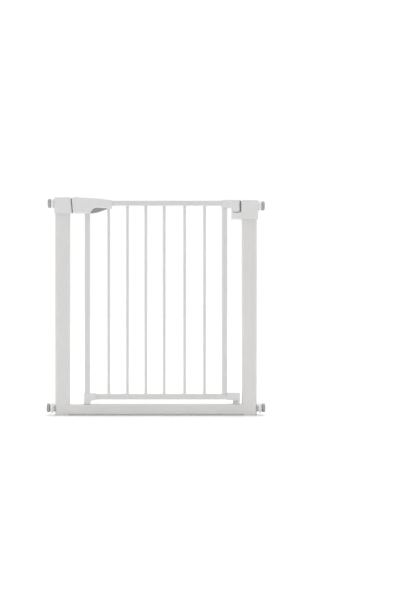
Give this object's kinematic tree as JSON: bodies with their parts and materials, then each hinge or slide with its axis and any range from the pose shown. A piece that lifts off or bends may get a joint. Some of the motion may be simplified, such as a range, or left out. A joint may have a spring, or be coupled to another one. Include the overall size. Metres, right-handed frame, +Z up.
{
  "type": "pressure-fit safety baby gate",
  "caption": "White steel safety gate that presses between two walls: a U-shaped frame with a hinged barred leaf, a lift-and-slide latch handle and screw-out rubber-faced wall pads.",
  "frame": {"origin": "on the floor, under the middle of the gate's width and thickness", "axes": "+X from the latch side to the hinge side, +Y through the doorway away from the front, +Z up"},
  "size_m": [0.774, 0.038, 0.7752],
  "materials": {
    "painted_frame": "white powder coat, satin",
    "painted_leaf": "white powder coat, satin",
    "foot_plug": "moulded, fine grain",
    "catch_plastic": "moulded nylon",
    "zinc_steel": "bright zinc plate",
    "screw_steel": "zinc-plated",
    "spring_steel": "drawn wire",
    "casing_plastic": "moulded, fine satin grain",
    "handle_plastic": "moulded, fine satin grain",
    "fitting_plastic": "moulded, fine satin grain",
    "strike_plastic": "moulded nylon",
    "bush_plastic": "moulded acetal",
    "grip_rubber": "soft-touch, matt",
    "latch_nylon": "moulded nylon",
    "button_plastic": "satin gloss",
    "spindle_chrome": "rolled thread, plated",
    "nut_plastic": "moulded, glossy",
    "pad_rubber": "moulded rubber"
  },
  "bodies": {
    "frame": {"left_column": "painted_frame", "right_column": "painted_frame", "bottom_bar": "painted_frame", "foot_plugs": "foot_plug", "bottom_catch": "catch_plastic", "lower_hinge_socket": "catch_plastic", "lower_hinge_pin": "zinc_steel", "spindle_sleeves": "zinc_steel", "latch_casing_front": "casing_plastic", "latch_casing_rear": "casing_plastic", "latch_casing_screws": "screw_steel", "latch_strike": "strike_plastic", "hinge_casing_front": "casing_plastic", "hinge_casing_rear": "casing_plastic", "hinge_casing_screws": "screw_steel", "hinge_cradle": "casing_plastic", "hinge_guard": "strike_plastic"},
    "hinge_bushes": {"upper_hinge_bush": "bush_plastic", "lower_hinge_bush": "bush_plastic"},
    "leaf": {"top_rail": "painted_leaf", "bottom_rail": "painted_leaf", "left_post": "painted_leaf", "right_post": "painted_leaf", "handle_front": "handle_plastic", "handle_rear": "handle_plastic", "handle_screws": "screw_steel", "handle_grip_web": "grip_rubber", "bolt_guide": "latch_nylon", "button_spring": "spring_steel", "hinge_cap_front": "handle_plastic", "hinge_cap_rear": "handle_plastic", "hinge_cap_screws": "screw_steel", "upper_hinge_pin": "zinc_steel", "lower_hinge_fitting": "fitting_plastic", "latch_foot": "fitting_plastic", "fitting_screws": "screw_steel", "bar_1": "painted_leaf", "bar_2": "painted_leaf", "bar_3": "painted_leaf", "bar_4": "painted_leaf", "bar_5": "painted_leaf", "bar_6": "painted_leaf"},
    "latch_slider": {"thumb_button": "button_plastic", "latch_bolt": "latch_nylon"},
    "spindle_upper_left": {"spindle_upper_left": "spindle_chrome"},
    "nut_upper_left": {"nut_upper_left": "nut_plastic"},
    "pad_upper_left": {"pad_upper_left": "pad_rubber"},
    "spindle_upper_right": {"spindle_upper_right": "spindle_chrome"},
    "nut_upper_right": {"nut_upper_right": "nut_plastic"},
    "pad_upper_right": {"pad_upper_right": "pad_rubber"},
    "spindle_lower_left": {"spindle_lower_left": "spindle_chrome"},
    "nut_lower_left": {"nut_lower_left": "nut_plastic"},
    "pad_lower_left": {"pad_lower_left": "pad_rubber"},
    "spindle_lower_right": {"spindle_lower_right": "spindle_chrome"},
    "nut_lower_right": {"nut_lower_right": "nut_plastic"},
    "pad_lower_right": {"pad_lower_right": "pad_rubber"}
  },
  "joints": [
    {"name": "gate_swing", "type": "hinge", "parent": "frame", "child": "hinge_bushes", "pos_m": [0.285, 0, 0.0535], "axis": [0, 0, 1], "range_deg": [-90, 90]},
    {"name": "gate_lift", "type": "slide", "parent": "hinge_bushes", "child": "leaf", "axis": [0, 0, 1], "range_m": [0, 0.012]},
    {"name": "button_slide", "type": "slide", "parent": "leaf", "child": "latch_slider", "axis": [1, 0, 0], "range_m": [0, 0.008], "stiffness_N_per_m": 350, "springref_m": -0.004, "deforming": ["button_spring"]},
    {"name": "nut_upper_left_spin", "type": "hinge", "parent": "frame", "child": "nut_upper_left", "pos_m": [-0.365, 0, 0.7525], "axis": [1, 0, 0], "range_deg": [0, 7201]},
    {"name": "spindle_upper_left_slide", "type": "slide", "parent": "frame", "child": "spindle_upper_left", "axis": [-1, 0, 0], "range_m": [0, 0.03]},
    {"name": "pad_upper_left_swivel", "type": "hinge", "parent": "spindle_upper_left", "child": "pad_upper_left", "pos_m": [-0.3832, 0, 0.7525], "axis": [-1, 0, 0], "continuous": true},
    {"name": "nut_upper_right_spin", "type": "hinge", "parent": "frame", "child": "nut_upper_right", "pos_m": [0.365, 0, 0.7435], "axis": [-1, 0, 0], "range_deg": [0, 7201]},
    {"name": "spindle_upper_right_slide", "type": "slide", "parent": "frame", "child": "spindle_upper_right", "axis": [1, 0, 0], "range_m": [0, 0.03]},
    {"name": "pad_upper_right_swivel", "type": "hinge", "parent": "spindle_upper_right", "child": "pad_upper_right", "pos_m": [0.3849, 0, 0.7435], "axis": [1, 0, 0], "continuous": true},
    {"name": "nut_lower_left_spin", "type": "hinge", "parent": "frame", "child": "nut_lower_left", "pos_m": [-0.365, 0, 0.0255], "axis": [1, 0, 0], "range_deg": [0, 7201]},
    {"name": "spindle_lower_left_slide", "type": "slide", "parent": "frame", "child": "spindle_lower_left", "axis": [-1, 0, 0], "range_m": [0, 0.03]},
    {"name": "pad_lower_left_swivel", "type": "hinge", "parent": "spindle_lower_left", "child": "pad_lower_left", "pos_m": [-0.387, 0, 0.0255], "axis": [-1, 0, 0], "continuous": true},
    {"name": "nut_lower_right_spin", "type": "hinge", "parent": "frame", "child": "nut_lower_right", "pos_m": [0.365, 0, 0.0255], "axis": [-1, 0, 0], "range_deg": [0, 7201]},
    {"name": "spindle_lower_right_slide", "type": "slide", "parent": "frame", "child": "spindle_lower_right", "axis": [1, 0, 0], "range_m": [0, 0.03]},
    {"name": "pad_lower_right_swivel", "type": "hinge", "parent": "spindle_lower_right", "child": "pad_lower_right", "pos_m": [0.387, 0, 0.0255], "axis": [1, 0, 0], "continuous": true}
  ],
  "couplings": [
    {"joint": "nut_upper_left_spin", "follows": "spindle_upper_left_slide", "rad_per_m": 4188.8},
    {"joint": "nut_upper_right_spin", "follows": "spindle_upper_right_slide", "rad_per_m": 4188.8},
    {"joint": "nut_lower_left_spin", "follows": "spindle_lower_left_slide", "rad_per_m": 4188.8},
    {"joint": "nut_lower_right_spin", "follows": "spindle_lower_right_slide", "rad_per_m": 4188.8}
  ]
}
